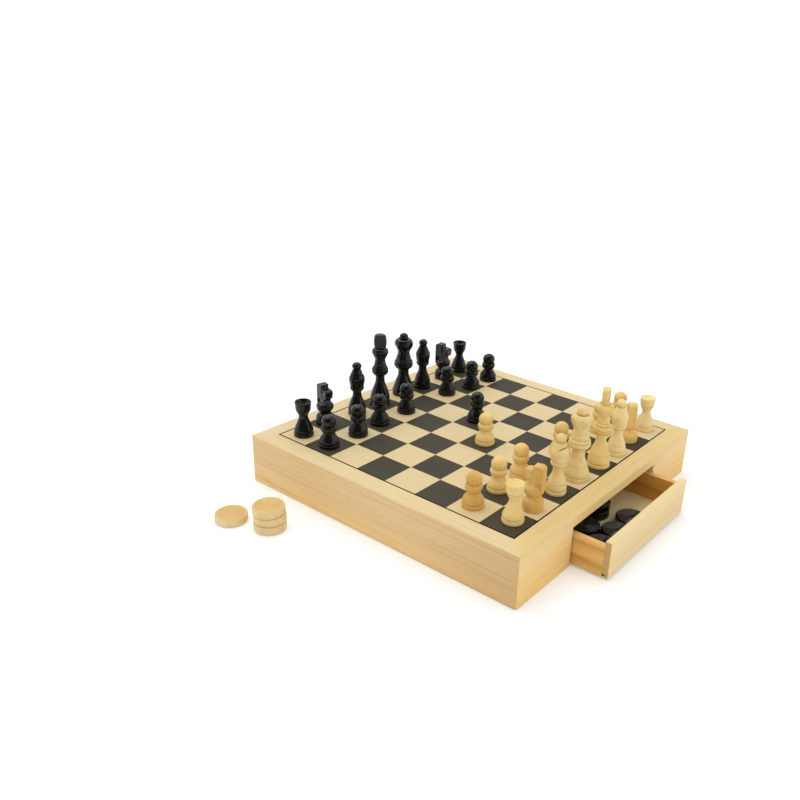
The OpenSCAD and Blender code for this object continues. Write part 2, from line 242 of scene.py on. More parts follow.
# Depth of the bump on planks, on turned and printed wood, and on lacquer.
PLANED_RELIEF = 0.05 * MM
FINE_RELIEF = 0.04 * MM
LACQUER_RELIEF = 0.02 * MM
# A black line of shade runs round the board. Above the board's lower face, painted shade darkens
# the wood in the gap between these distances from the middle of the case.
BOARD_LEVEL = 40.1 * MM
CASE_SEAM = (127.0 * MM, 128.2 * MM)
BOARD_SEAM = (126.8 * MM, 127.5 * MM)
SEAM_SHADE = "#1d160c"
# The groove of the drawer's bottom runs out at the front board's ends: its heights, the
# distance from the middle beyond which it shows, and the painted shade inside it.
TRAY_GROOVE = (2.4 * MM, 4.6 * MM)
OUTER_HALF = 100 * MM
GROOVE_SHADE = "#0d0904"
# Edges that turn by more than this many degrees are eased, in this many steps.
EASE_ANGLE = 35
EASE_STEPS = 3


def new_material(name):
    material = bpy.data.materials.new(name)
    material.use_nodes = True
    material.node_tree.nodes.clear()
    return material, material.node_tree


def piece_coords(tree):
    return add(tree, "TexCoord").outputs["Object"]


def along_axis(tree, axis):
    return add(tree, "SeparateXYZ", {0: piece_coords(tree)}).outputs[AXES[axis]]


def stretched(tree, grain, stretch, seed):
    """Object coordinates drawn out along the grain."""
    scale = [1.0, 1.0, 1.0]
    scale[AXES[grain]] = 1 / stretch
    offset = [seed * step for step in SEED_STEP]
    inputs = {"Vector": piece_coords(tree), "Scale": scale, "Location": offset}
    return add(tree, "Mapping", inputs).outputs[0]


def noise(tree, vector, scale, detail=2.0, roughness=0.5):
    inputs = {"Vector": vector, "Scale": scale, "Detail": detail, "Roughness": roughness}
    return add(tree, "TexNoise", inputs).outputs[0]


def facing(tree, axis, low, high):
    """1 on faces square to an axis, 0 on faces along it, and eased between two cosines."""
    normal = add(tree, "TexCoord").outputs["Normal"]
    part = add(tree, "SeparateXYZ", {0: normal}).outputs[AXES[axis]]
    return ramp(tree, maths(tree, "ABSOLUTE", part), low, high)


def facing_up(tree):
    """1 on faces that look up or down, 0 on upright ones."""
    return facing(tree, "Z", 0.45, 0.85)


def hollow(tree):
    """1 at the bottom of a turned groove and -1 on a ridge, as the lathe marked them: where painted
    shade and painted highlights go.
    """
    return add(tree, "Attribute", attribute_name="hollow").outputs["Fac"]


def finish(tree, colour, roughness, height, depth, specular):
    """Closes a material: a bump of that depth in metres, and how much it mirrors."""
    bump = add(tree, "Bump", {"Height": height, "Distance": depth, "Strength": 1.0})
    shader = add(tree, "BsdfPrincipled", {
        "Base Color": colour, "Roughness": roughness, "Normal": bump.outputs[0],
        "Specular IOR Level": specular,
    })
    add(tree, "OutputMaterial", {"Surface": shader.outputs[0]})


def growth_lines(tree, grain, along, spacing):
    """The late wood of each year, in lines that come and go along the plank.

    They run across both cross axes, so that faces of every direction show them.
    """
    first, second = [along_axis(tree, axis) for axis in AXES if axis != grain]
    sway = noise(tree, along, scale=14)
    patchy = noise(tree, along, scale=150, detail=3, roughness=0.6)
    depth = total(tree, first, product(tree, second, LINE_SLANT), product(tree, sway, LINE_SWAY),
                  product(tree, patchy, LINE_TREMBLE))
    year = maths(tree, "FRACT", maths(tree, "DIVIDE", depth, spacing))
    fading = noise(tree, along, scale=33)
    return product(tree, ramp(tree, year, 0.25, 0.93), ramp(tree, year, 1.0, 0.94),
                   ramp(tree, patchy, 0.38, 0.62, 0.2, 1.0),
                   ramp(tree, fading, 0.36, 0.6, 0.1, 1.0))


def short_dashes(tree, grain, seed):
    """1 on short dark dashes, which lie along the grain in patches."""
    way = stretched(tree, grain, DASH_STRETCH, seed + DASH_SEED)
    dash = noise(tree, way, scale=1300, detail=1)
    patch = noise(tree, way, scale=60)
    return product(tree, ramp(tree, dash, 0.66, 0.76), ramp(tree, patch, 0.45, 0.6))


def with_band(tree, colour, slow, up, axis, start, end, tone, share):
    """A colour with a further tone that sets in from start to end of an axis, on upright faces."""
    wobble = product(tree, maths(tree, "SUBTRACT", slow, 0.5), abs(end - start) * 1.6)
    place = total(tree, along_axis(tree, axis), wobble)
    amounts = (share, 0.0) if end < start else (0.0, share)
    part = product(tree, ramp(tree, place, *sorted((start, end)), *amounts), rest_of(tree, up))
    return mixed(tree, part, colour, rgb(tone))


def sawn_ends(tree, late, tones, groove):
    """Colour of end grain, with the growth lines, and painted shade where a drawer's groove runs
    out.
    """
    pores = noise(tree, piece_coords(tree), scale=1500, detail=3, roughness=0.7)
    colour = mixed(tree, ramp(tree, pores, 0.4, 0.7), rgb(tones[0]), rgb(tones[1]))
    colour = mixed(tree, product(tree, late, 0.5), colour, rgb(tones[1]))
    # Painted shade where the groove of the drawer's bottom runs out at the sawn end.
    if groove:
        inside = within(tree, along_axis(tree, "Z"), *groove)
        reach = maths(tree, "ABSOLUTE", along_axis(tree, "X"))
        outer = maths(tree, "GREATER_THAN", reach, OUTER_HALF)
        colour = mixed(tree, product(tree, inside, outer), colour, rgb(GROOVE_SHADE))
    return colour


def beside_board(tree, seam):
    """1 above the board's lower face, between two distances from the middle of the case."""
    across = [maths(tree, "ABSOLUTE", along_axis(tree, axis)) for axis in "XY"]
    inside = within(tree, maths(tree, "MAXIMUM", *across), *seam)
    return product(tree, inside, maths(tree, "GREATER_THAN", along_axis(tree, "Z"), BOARD_LEVEL))


def wood(name, face, warm, dark, grain, seed, edge=None, bands=(), seam=None, ends=None,
         groove=None, spacing=4.2 * MM, line_show=0.3, streaks=0.22, flecks=0.45, roughness=0.55):
    """Planed softwood: slow colour bands, growth lines that come and go, fibres, dark dashes.

    face and warm are its ground tones, and dark is that of its lines, fibres and dashes. edge is a
    pair of tones for faces that look up or down, and ends a pair for sawn ends. bands are further
    tones, as with_band takes them. Painted shade darkens sawn ends between the two heights of
    groove, and the wood beside the board between the two distances of seam. spacing is that of
    the growth lines, and line_show, streaks and flecks are how much of dark each kind of mark has.
    """
    material, tree = new_material(name)
    along = stretched(tree, grain, GRAIN_STRETCH, seed)
    slow = noise(tree, along, scale=45, detail=3, roughness=0.55)
    fibre = noise(tree, along, scale=800, detail=4, roughness=0.65)
    up = facing_up(tree)
    colour = mixed(tree, ramp(tree, slow, 0.35, 0.68), rgb(face), rgb(warm))
    if edge:
        level = mixed(tree, ramp(tree, slow, 0.3, 0.7), rgb(edge[0]), rgb(edge[1]))
        colour = mixed(tree, up, colour, level)
    for band in bands:
        colour = with_band(tree, colour, slow, up, *band)
    less_up = rest_of(tree, product(tree, up, 0.6))
    late = product(tree, growth_lines(tree, grain, along, spacing), less_up)
    dashes = short_dashes(tree, grain, seed)
    colour = mixed(tree, product(tree, late, line_show), colour, rgb(dark))
    strands = ramp(tree, fibre, 0.46, 0.78)
    colour = mixed(tree, product(tree, strands, streaks), colour, rgb(dark))
    colour = mixed(tree, product(tree, dashes, flecks), colour, rgb(dark))
    if ends:
        sawn = sawn_ends(tree, late, ends, groove)
        colour = mixed(tree, facing(tree, grain, 0.8, 0.95), colour, sawn)
    # Painted shade darkens the wood in the gap round the board.
    if seam:
        colour = mixed(tree, beside_board(tree, seam), colour, rgb(SEAM_SHADE))
    rough = ramp(tree, fibre, 0.2, 0.8, roughness - 0.06, roughness + 0.1)
    relief = maths(tree, "SUBTRACT", fibre, product(tree, dashes, 0.8))
    finish(tree, colour, rough, relief, PLANED_RELIEF, specular=0.2)
    return material


def turned_wood(name, pale, warm, dark, seed, top=None, grooves=0.75, streaks=0.32):
    """Bare turned beech: faint grain up the piece, tool marks round it, painted shade in its
    grooves.

    top is a tone for faces that look up or down, and grooves is how much painted shade darkens the
    grooves.
    """
    material, tree = new_material(name)
    along = stretched(tree, "Z", 12.0, seed)
    slow = noise(tree, along, scale=70)
    fibre = noise(tree, along, scale=850, detail=3, roughness=0.6)
    dash = noise(tree, stretched(tree, "Z", 5.0, seed + DASH_SEED), scale=2100, detail=1)
    height = add(tree, "CombineXYZ", {2: along_axis(tree, "Z")}).outputs[0]
    marks = noise(tree, height, scale=1700, detail=1)
    colour = mixed(tree, ramp(tree, slow, 0.34, 0.68), rgb(pale), rgb(warm))
    strands = ramp(tree, fibre, 0.48, 0.8)
    dashes = ramp(tree, dash, 0.66, 0.76)
    colour = mixed(tree, product(tree, strands, streaks), colour, rgb(dark))
    colour = mixed(tree, product(tree, dashes, streaks * 1.2), colour, rgb(dark))
    if top:
        level = mixed(tree, ramp(tree, fibre, 0.3, 0.7), rgb(top), rgb(warm))
        colour = mixed(tree, facing_up(tree), colour, level)
    # Painted shade darkens the grooves that the lathe marked.
    colour = mixed(tree, ramp(tree, hollow(tree), 0.15, 0.95, 0.0, grooves), colour, rgb(dark))
    rough = ramp(tree, fibre, 0.2, 0.8, 0.5, 0.66)
    relief = total(tree, fibre, product(tree, marks, 0.7))
    finish(tree, colour, rough, relief, FINE_RELIEF, specular=0.2)
    return material


def lacquer(name, seed, ridge_highlight=0.0):
    """Glossy black lacquer on wood: the grain shows faintly through it.

    The last argument is how strongly a painted highlight greys the thin ridges between turned
    grooves.
    """
    material, tree = new_material(name)
    fibre = noise(tree, stretched(tree, "Z", 9.0, seed), scale=520, detail=3, roughness=0.6)
    orange_peel = noise(tree, piece_coords(tree), scale=420, detail=1)
    dull = noise(tree, piece_coords(tree), scale=90)
    colour = mixed(tree, ramp(tree, fibre, 0.35, 0.75), rgb("#0a0a09"), rgb("#12120f"))
    # A painted highlight greys the ridges between the turned grooves.
    if ridge_highlight:
        highlit_ridges = product(tree, ramp(tree, hollow(tree), -0.25, -0.9), ridge_highlight)
        colour = mixed(tree, highlit_ridges, colour, rgb("#8a857a"))
    rough = ramp(tree, dull, 0.3, 0.75, 0.13, 0.2)
    relief = total(tree, product(tree, fibre, 0.4), product(tree, orange_peel, 0.5))
    finish(tree, colour, rough, relief, LACQUER_RELIEF, specular=0.38)
    return material


def black_print(name, grain, seed):
    """Black stain printed into the board: fibres stay a little lighter."""
    material, tree = new_material(name)
    along = stretched(tree, grain, 22.0, seed)
    fibre = noise(tree, along, scale=560, detail=4, roughness=0.65)
    speck = noise(tree, piece_coords(tree), scale=1500, detail=2, roughness=0.7)
    slow = noise(tree, along, scale=30)
    strands = ramp(tree, fibre, 0.45, 0.8)
    specks = ramp(tree, speck, 0.60, 0.72)
    colour = mixed(tree, ramp(tree, slow, 0.3, 0.7), rgb("#3e3930"), rgb("#474234"))
    colour = mixed(tree, product(tree, strands, 0.35), colour, rgb("#5d5642"))
    colour = mixed(tree, product(tree, specks, 0.4), colour, rgb("#6d6650"))
    rough = ramp(tree, fibre, 0.2, 0.8, 0.5, 0.66)
    finish(tree, colour, rough, fibre, FINE_RELIEF, specular=0.15)
    return material


def give(node, material):
    """Gives a CAD node its finish."""
    slots = nodes[node].data.materials
    slots.clear()
    slots.append(material)


def ease(node, width):
    """Softens a CAD node's sawn edges without changing its mesh."""
    thing = nodes[node]
    weld = thing.modifiers.new("weld", "WELD")
    weld.merge_threshold = 0.01 * MM
    bevel = thing.modifiers.new("eased", "BEVEL")
    bevel.width = width
    bevel.segments = EASE_STEPS
    bevel.limit_method = "ANGLE"
    bevel.angle_limit = math.radians(EASE_ANGLE)
    bevel.harden_normals = True


def finish_case():
    grain_line = "#b98a4e"
    rim = ("#ead5a7", "#e4cd9c")
    right_rim = ("#ecd398", "#e5ca8b")
    # Each wall's grain, its two tones and its bands.
    planks = {
        "front_wall": ("X", "#f0cf9a", "#ecca93", [
            # The front wall's lower band is a warmer wood tone, made lighter as painted light
            # against the shade near the floor.
            ("Z", 0.022, 0.002, "#fbd694", 0.8), ("X", 0.020, 0.150, "#dfba84", 0.9)]),
        "back_wall": ("X", "#efcf99", "#ebca92", [("Z", 0.020, 0.004, "#f6cd88", 0.7)]),
        "left_wall": ("Y", "#f1d19b", "#ecca90", [("Z", 0.026, 0.006, "#f5cb84", 0.7)]),
        "right_wall": ("Y", "#fadc9f", "#f5d395", [("Z", 0.034, 0.010, "#fdd184", 0.8)]),
    }
    for seed, (node, (grain, face, warm, bands)) in enumerate(planks.items(), start=1):
        material = wood(f"pine_{node}", face, warm, grain_line, grain, seed,
                        edge=right_rim if node == "right_wall" else rim, bands=bands,
                        seam=CASE_SEAM, line_show=0.14 if grain == "Y" else 0.28)
        give(node, material)
        ease(node, 0.6 * MM)
    inner_parts = {"X": ("front_guide", "back_guide", "board_ledges"), "Y": ("centre_divider",)}
    for grain, parts in inner_parts.items():
        material = wood(f"inner_pine_{grain.lower()}", "#e0c28c", "#d3ad70", "#a87a44", grain, 6,
                        roughness=0.65)
        for node in parts:
            give(node, material)
            ease(node, 0.3 * MM)
    # The ply's sawn ends are coloured with painted shade.
    ply = wood("thin_ply", "#fff2c0", "#fce9b4", "#c8a068", "Y", 7, spacing=30 * MM,
               line_show=0.12, streaks=0.12, flecks=0.2, roughness=0.62,
               ends=(GROOVE_SHADE, "#1c130a"))
    for node in ("floor_panel", "right_drawer_bottom", "left_drawer_bottom"):
        give(node, ply)


def finish_board():
    face = wood("board_face", "#e3cfa3", "#e0ca9b", "#c39e62", "X", 8, spacing=6 * MM,
                line_show=0.16, streaks=0.2, flecks=0.35, seam=BOARD_SEAM)
    give("playing_board", face)
    ease("playing_board", 0.2 * MM)
    dark = black_print("black_print", "X", 9)
    give("chequer_print", dark)
    give("morris_print", dark)


def finish_drawers():
    edge = ("#ecc47c", "#e4b768")
    ends = ("#b98d50", "#9c6428")
    front = wood("drawer_front_pine", "#f9e1ae", "#f5d9a0", "#c9954f", "Y", 10, spacing=5 * MM,
                 line_show=0.2, edge=("#f2dcaa", "#ecd29c"), ends=("#cfae78", "#c9954f"))
    near = wood("drawer_side_pine", "#f0c277", "#e8b868", "#9c6428", "X", 11, spacing=13 * MM,
                line_show=0.6, streaks=0.28, flecks=0.3, edge=edge, ends=ends, groove=TRAY_GROOVE)
    # The far side's tones are deeper: partly the wood's own colour, partly painted shade of the
    # drawer's inside.
    far = wood("drawer_far_pine_shaded", "#dfa450", "#d4963e", "#8a5218", "X", 13, spacing=11 * MM,
               line_show=0.5, streaks=0.28, flecks=0.3, edge=edge, ends=ends, groove=TRAY_GROOVE)
    back = wood("drawer_back_pine", "#e0b068", "#d8a458", "#94602a", "Y", 12, spacing=9 * MM,
                line_show=0.45, edge=edge)
    finishes = {"front": front, "near_side": near, "far_side": far, "back": back}
    for drawer in ("right_drawer", "left_drawer"):
        for part, material in finishes.items():
            give(f"{drawer}_{part}", material)
            ease(f"{drawer}_{part}", 0.5 * MM)


# ---------- turned pieces ----------

# Steps between two given points of a curve, and half of a crease's width.
CURVE_STEPS = 4
CREASE_HALF = 0.15


def arc(centre, rx, rz, start, end, steps=6):
    """Points on an ellipse in a profile, from one angle to another, in degrees."""
    angles = [math.radians(start + (end - start) * k / steps) for k in range(steps + 1)]
    return [(centre[0] + rx * math.cos(a), centre[1] + rz * math.sin(a)) for a in angles]


def curve(*points):
    """Points on a smooth (Catmull-Rom) curve through the given ones."""
    out = []
    last = len(points) - 1
    for k in range(last):
        a, b, c, d = [Vector(points[min(max(k + j, 0), last)]) for j in (-1, 0, 1, 2)]
        for step in range(CURVE_STEPS):
            t = step / CURVE_STEPS
            spot = b + (c - a) * t / 2 + (a - 2.5 * b + 2 * c - d / 2) * t * t
            out.append(tuple(spot + (1.5 * (b - c) + (d - a) / 2) * t * t * t))
    return out + [tuple(points[-1])]


def crease(r, z, depth=0.35):
    """A fine groove that the point of the turning tool left, as three points of a profile."""
    return [(r, z - CREASE_HALF), (r - depth, z, 1), (r, z + CREASE_HALF)]


def foot(r):
    """The foot disc of a man, from the axis out, and the groove above it."""
    disc = [*arc((r - 0.8, 0.8), 0.8, 0.8, -90, 0, 4), *arc((r - 0.9, 2.6), 0.9, 0.9, 0, 80, 4)]
    return [(0, 0), *disc, (r - 1.0, 3.6), (r - 1.2, 3.85, 1), (r - 0.75, 4.05)]


# Half sections from the foot up, as radius and height, with a third number 1 in each groove.
PAWN = [
    *foot(8.9), *curve((8.45, 4.2), (8.65, 5.3), (8.45, 6.4), (8.15, 7.1)), (7.85, 7.25, 1),
    *curve((8.05, 7.4), (7.5, 8.4), (6.6, 9.7), (5.3, 11.7), (4.75, 12.7), (4.65, 13.3)),
    (4.6, 13.45, 1),
    *curve((5.2, 13.5), (6.2, 14.3), (6.9, 16.3), (7.05, 17.3), (6.75, 18.7), (6.1, 19.6),
           (5.6, 19.85)), (5.25, 19.95, 1),
    *arc((0, 23.45), 6.4, 6.15, -32, 90, 18),
]
ROOK_BODY = [
    *foot(8.75), *curve((8.3, 4.2), (8.45, 5.2), (8.4, 6.2), (8.15, 7.0)), (7.85, 7.15, 1),
    *curve((8.0, 7.35), (7.5, 8.4), (6.9, 10), (5.9, 12.5), (4.9, 15), (4.2, 17), (3.95, 19)),
    *curve((3.95, 19), (4.3, 20.2), (5.2, 22), (6.05, 23.6), (6.45, 24.6)), (6.2, 24.85, 1),
    *curve((6.5, 25.1), (6.7, 26.2), (6.95, 29.4), (7.25, 31.4)), (7.2, 32.2), (7.0, 32.5),
]
ROOK = [
    *ROOK_BODY, (6.7, 32.45), *curve((6.7, 32.45), (5.4, 31.9), (4.3, 31.4)),
    (3.9, 31.2), (0, 31.1),
]
DEEP_ROOK = [
    *ROOK_BODY, (6.3, 32.4), *curve((6.2, 32.3), (5.5, 31), (5, 29.9)),
    (4.5, 29.4), (0, 29.2),
]
KNIGHT_BODY = [
    (0, 0), *arc((7.5, 0.9), 0.9, 0.9, -90, 0, 3),
    *curve((8.4, 2), (8.45, 5.5), (8.1, 7.8), (7.2, 9.4), (6, 10.3)),
    *curve((5.6, 10.8), (5.3, 11.6), (5.7, 12.6), (6.8, 13.9), (7.6, 15.6), (7.9, 17.4)),
    *curve((7.9, 17.4), (7.5, 19.2), (6, 20.6), (3.4, 21.4), (0, 21.6)),
]
BISHOP = [
    *foot(8.5), *curve((8.1, 4.2), (8.4, 5.2), (8.2, 7.4), (7.75, 9.3)), (7.4, 9.5, 1),
    *curve((7.6, 9.75), (6.9, 12.3), (5.8, 15), (4.7, 17.6), (4.15, 20.2), (4.2, 23)),
    *curve((4.2, 23), (4.8, 24.1), (5.7, 24.8)), (5.6, 25.1, 1),
    *curve((6.0, 25.3), (6.6, 26.4), (6.6, 27.4), (6.2, 28.2)), (5.9, 28.45, 1),
    *curve((6.3, 28.7), (6.6, 30), (7.0, 32.3), (7.4, 35), (7.2, 37.3), (6.1, 40), (5, 42.6),
           (4.1, 44.6), (3.9, 45.1)),
    (2.8, 45.2, 1), *arc((0, 48.3), 4.45, 3.7, -52, 90, 16),
]
QUEEN = [
    *foot(10.8), *curve((10.4, 4.2), (10.65, 5), (10.4, 6.6), (10, 8), (9.3, 10), (8.5, 12.2)),
    *crease(8.35, 12.5),
    *curve((8.3, 12.8), (7.7, 15), (6.1, 18.7), (5.5, 21.6), (5.25, 25), (5.9, 26.8)),
    *curve((6.1, 27), (7.3, 28.2), (8.5, 29.3)), (8.0, 29.75, 1),
    *curve((8.7, 30.1), (9.4, 31), (9.5, 32.4), (9.15, 33.6)), (8.5, 34.0, 1),
    *curve((9.1, 34.4), (8.9, 35.6), (8.0, 36.7)), (7.1, 37, 1),
    *curve((7.6, 37.3), (7.2, 39.4), (6.5, 41.4)), *crease(6.4, 41.6, 0.25),
    *curve((6.4, 41.9), (6.0, 43.4), (6.05, 45), (6.4, 46.6), (8, 49.4), (9.1, 51.8), (9.3, 53.2)),
    *curve((9.3, 53.2), (9.1, 54.8), (8.4, 56.6), (7.5, 57.8), (6.5, 58.3)), (5.4, 58),
    (3.9, 57.3, 1), *arc((0, 60.2), 4.5, 4.3, -44, 90, 18),
]
KING = [
    *foot(9.9), *curve((9.5, 4.2), (9.75, 5), (9.6, 6.8), (9.1, 9.8), (8.75, 11.2)),
    *crease(8.6, 11.5),
    *curve((8.55, 11.8), (8.1, 13.7), (6.8, 17.3), (5.4, 20.9), (4.4, 25), (4.4, 28.7)),
    *curve((4.4, 28.7), (5.1, 30.2), (6.5, 31.4)), (6.1, 31.75, 1),
    *curve((6.9, 32.1), (7.8, 33.2), (7.9, 34.2)), (7.4, 34.6, 1),
    *curve((7.95, 35), (7.95, 36.6), (7.3, 37.9)), (6.2, 38.4, 1),
    *curve((6.8, 38.7), (6.6, 39.6), (5.8, 40.6)), (5.5, 40.9, 1),
    *curve((5.8, 41.2), (5.55, 42.8), (5.1, 44.8), (4.9, 46.2), (5.3, 47.8), (6.2, 49.4),
           (6.9, 50.9)),
    *curve((6.9, 50.9), (7.7, 52.8), (7.9, 54.4), (7.6, 56), (6.7, 57.2)), (5.6, 57.8),
    (5.2, 58.1, 1),
    *curve((5.4, 58.5), (5.8, 60), (6.15, 63), (6.2, 65), (6.0, 67.6), (5.6, 69.6)),
    *curve((5.6, 69.6), (5.2, 70.6), (4.3, 71.2), (2.8, 71.5), (0, 71.5)),
]
BISHOP_H = 52
# Each man's half section, with the largest radius and the height that it is drawn at. The
# knight's comes with its head, from knight_mesh.
PROFILES = {
    "pawn": (PAWN, 8.9, 29.6), "rook": (ROOK, 8.75, 32.5), "deep rook": (DEEP_ROOK, 8.75, 32.5),
    "knight": (None, 8.45, 38.5), "bishop": (BISHOP, 8.5, BISHOP_H), "queen": (QUEEN, 10.8, 64.5),
    "king": (KING, 9.9, 71.5),
}
# How far each man that isn't the same all round is turned, in degrees, as in the CAD model.
TURNS = {
    "dark_knight_near": -13, "dark_knight_far": 5, "pale_knight_near": 188, "pale_knight_far": 125,
    "dark_bishop_near": 24, "dark_bishop_far": 140, "pale_bishop_near": -1, "pale_bishop_far": 120,
    "dark_king": 43, "pale_king": -63,
}
# Sides of a turned man, and the angle from which its edges stay sharp, in degrees.
MAN_SEGMENTS = 96
MAN_CORNER = 32
# The king's finial is flat on two sides: where it starts, and its thickness.
FINIAL_FROM = 57.8
FINIAL_THICK = 6.8
# The queen's crown is scooped out in flutes, between two heights. They deepen over a first
# stretch, and their tops are arches that come down this far at the sides.
FLUTES = 6
FLUTE_DEPTH = 2.0
FLUTE_FROM = 45.5
FLUTE_TO = 55.0
FLUTE_START = 2.5
FLUTE_ARCH = 3.2
CROWN_R = 9


def held(share):
    """A share that is kept between 0 and 1."""
    return min(1.0, max(0.0, share))


def flute(v):
    """Sinks one vertex of a queen's crown into its flute, in mm."""
    if not FLUTE_FROM < v.co.z < FLUTE_TO:
        return
    # 0 in the middle of a flute, 1 at its sides.
    across = abs((math.atan2(v.co.y, v.co.x) * FLUTES / math.tau + 0.5) % 1.0 - 0.5) * 2
    arch = FLUTE_TO - FLUTE_ARCH * across ** 2
    up = held((v.co.z - FLUTE_FROM) / FLUTE_START) * held(arch - v.co.z)
    share = 1 - FLUTE_DEPTH * up * (1 - across ** 2) / CROWN_R
    v.co.x *= share
    v.co.y *= share


def flatten(v):
    """Saws one vertex of a king's finial flat, in mm."""
    if v.co.z > FINIAL_FROM:
        v.co.y = max(-FINIAL_THICK / 2, min(FINIAL_THICK / 2, v.co.y))


SHAPING = {"queen": flute, "king": flatten}


def lathe(mesh, profile, segments=MAN_SEGMENTS):
    """Adds to a bmesh the solid that a profile from axis to axis turns round Z, in mm.

    Points of the profile may have a third number for the materials: 1 at the bottom of a groove,
    where pale wood gets painted shade, or -1 on a ridge, where lacquer gets a painted highlight.
    """
    layers = mesh.verts.layers.float
    marks = layers.get("hollow") or layers.new("hollow")
    rings = []
    for r, z, *deep in profile:
        if r < 0.001:
            rings.append([mesh.verts.new((0, 0, z))])
            continue
        angles = [math.tau * k / segments for k in range(segments)]
        rings.append([mesh.verts.new((r * math.cos(a), r * math.sin(a), z)) for a in angles])
        for v in rings[-1]:
            v[marks] = deep[0] if deep else 0.0
    for lower, upper in zip(rings, rings[1:]):
        for k in range(segments):
            n = (k + 1) % segments
            if len(lower) == 1 and len(upper) == 1:
                continue
            if len(lower) == 1:
                mesh.faces.new((lower[0], upper[n], upper[k]))
            elif len(upper) == 1:
                mesh.faces.new((lower[k], lower[n], upper[0]))
            else:
                mesh.faces.new((lower[k], lower[n], upper[n], upper[k]))


def link_mesh(name, mesh, material, smooth_angle=40):
    """Turns a bmesh into an object with smooth shading, and sharp edges from that angle on."""
    bmesh.ops.recalc_face_normals(mesh, faces=mesh.faces)
    data = bpy.data.meshes.new(name)
    mesh.to_mesh(data)
    mesh.free()
    data.shade_smooth()
    data.set_sharp_from_angle(angle=math.radians(smooth_angle))
    data.materials.append(material)
    thing = bpy.data.objects.new(name, data)
    bpy.context.scene.collection.objects.link(thing)
    return thing


def applied(thing):
    """Bakes a new piece's modifiers into its mesh."""
    graph = bpy.context.evaluated_depsgraph_get()
    data = bpy.data.meshes.new_from_object(thing.evaluated_get(graph))
    thing.modifiers.clear()
    thing.data = data


def to_place(node, turn, drawn_r, drawn_h):
    """Carries a man drawn at the origin in mm to where its CAD node stands."""
    low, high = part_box(node)
    scale_xy = (high.x - low.x) / 2 / drawn_r
    scale_z = (high.z - low.z) / drawn_h
    middle = Vector(((low.x + high.x) / 2, (low.y + high.y) / 2, low.z))
    size = Matrix.Diagonal((scale_xy, scale_xy, scale_z, 1))
    return Matrix.Translation(middle) @ Matrix.Rotation(math.radians(turn), 4, "Z") @ size


# The head's outline, from the back of the neck over the ears to the muzzle and the chest.
KNIGHT_OUTLINE = [
    (-6.6, 15), (-7.7, 17.4),
    *curve((-7.8, 34.8), (-7.5, 36.6), (-6.2, 37.9), (-4.2, 38.4), (-1.6, 38.1), (0.2, 38.3),
           (1.0, 37.6)),
    *curve((1.3, 35.0), (2.0, 34.5), (6.4, 34.2), (7.7, 33.5), (8.1, 32.2)),
    *curve((8.1, 28.8), (7.3, 26.9), (5.6, 25.4), (4.3, 24.7), (4.1, 23.9)),
    *curve((4.1, 23.9), (4.9, 21.8), (6.1, 19.4), (6.9, 17.4)), (6.4, 15),
]
KNIGHT_THICK = 7.6
KNIGHT_VOXEL = 0.27
# Cuts on both cheeks, each from one point to another in the plane of the head, with its width
# and depth: the ear, the cheek, three in the mane and the mouth.
KNIGHT_CUTS = [
    ((1.2, 37.0), (0.6, 31.0), 0.5, 0.7),
    ((0.6, 31.0), (2.4, 25.4), 0.45, 0.5),
    ((-5.9, 24.4), (-6.3, 18.2), 0.45, 0.75),
    ((-4.4, 24.4), (-4.6, 18.2), 0.45, 0.75),
    ((-2.9, 24.0), (-2.9, 18.2), 0.45, 0.75),
    ((8.4, 29.4), (5.4, 29.0), 0.4, 0.7),
]
# Place, radius and depth of the eye.
KNIGHT_EYE = ((2.6, 32.3), 0.75, 0.8)
# The head starts at this height, its cheeks at this distance from the middle, and no cut is
# deeper than the last.
HEAD_FROM = 16
CHEEK_FROM = 2.0
DEEPEST_CUT = 1.2


def distance_to(point, a, b):
    """Distance in a plane from a point to the stretch from a to b."""
    ab = (b[0] - a[0], b[1] - a[1])
    ap = (point[0] - a[0], point[1] - a[1])
    t = held((ap[0] * ab[0] + ap[1] * ab[1]) / (ab[0] ** 2 + ab[1] ** 2))
    return math.hypot(ap[0] - t * ab[0], ap[1] - t * ab[1])


def knight_mesh():
    """A sawn and carved horse's head on a turned body, in mm at the origin, looking along +X."""
    mesh = bmesh.new()
    lathe(mesh, KNIGHT_BODY)
    half = KNIGHT_THICK / 2
    near = [mesh.verts.new((x, -half, z)) for x, z in KNIGHT_OUTLINE]
    far = [mesh.verts.new((x, half, z)) for x, z in KNIGHT_OUTLINE]
    mesh.faces.new(near)
    mesh.faces.new(far[::-1])
    for k in range(len(near)):
        n = (k + 1) % len(near)
        mesh.faces.new((near[n], near[k], far[k], far[n]))
    thing = link_mesh("knight_form", mesh, None)
    remesh = thing.modifiers.new("remesh", "REMESH")
    remesh.mode = "VOXEL"
    remesh.voxel_size = KNIGHT_VOXEL
    soften = thing.modifiers.new("soften", "SMOOTH")
    soften.factor = 0.5
    soften.iterations = 3
    applied(thing)
    carve(thing.data)
    return thing


def carve(data):
    """Sinks the cuts and the eyes into both cheeks of the knight's head."""
    eye, eye_r, eye_depth = KNIGHT_EYE
    for v in data.vertices:
        if v.co.z < HEAD_FROM or abs(v.co.y) < CHEEK_FROM:
            continue
        spot = (v.co.x, v.co.z)
        sink = sum(d * math.exp(-(distance_to(spot, a, b) / w) ** 2) for a, b, w, d in KNIGHT_CUTS)
        sink += eye_depth * math.exp(-(math.dist(spot, eye) / eye_r) ** 4)
        v.co.y -= math.copysign(min(sink, DEEPEST_CUT), v.co.y)


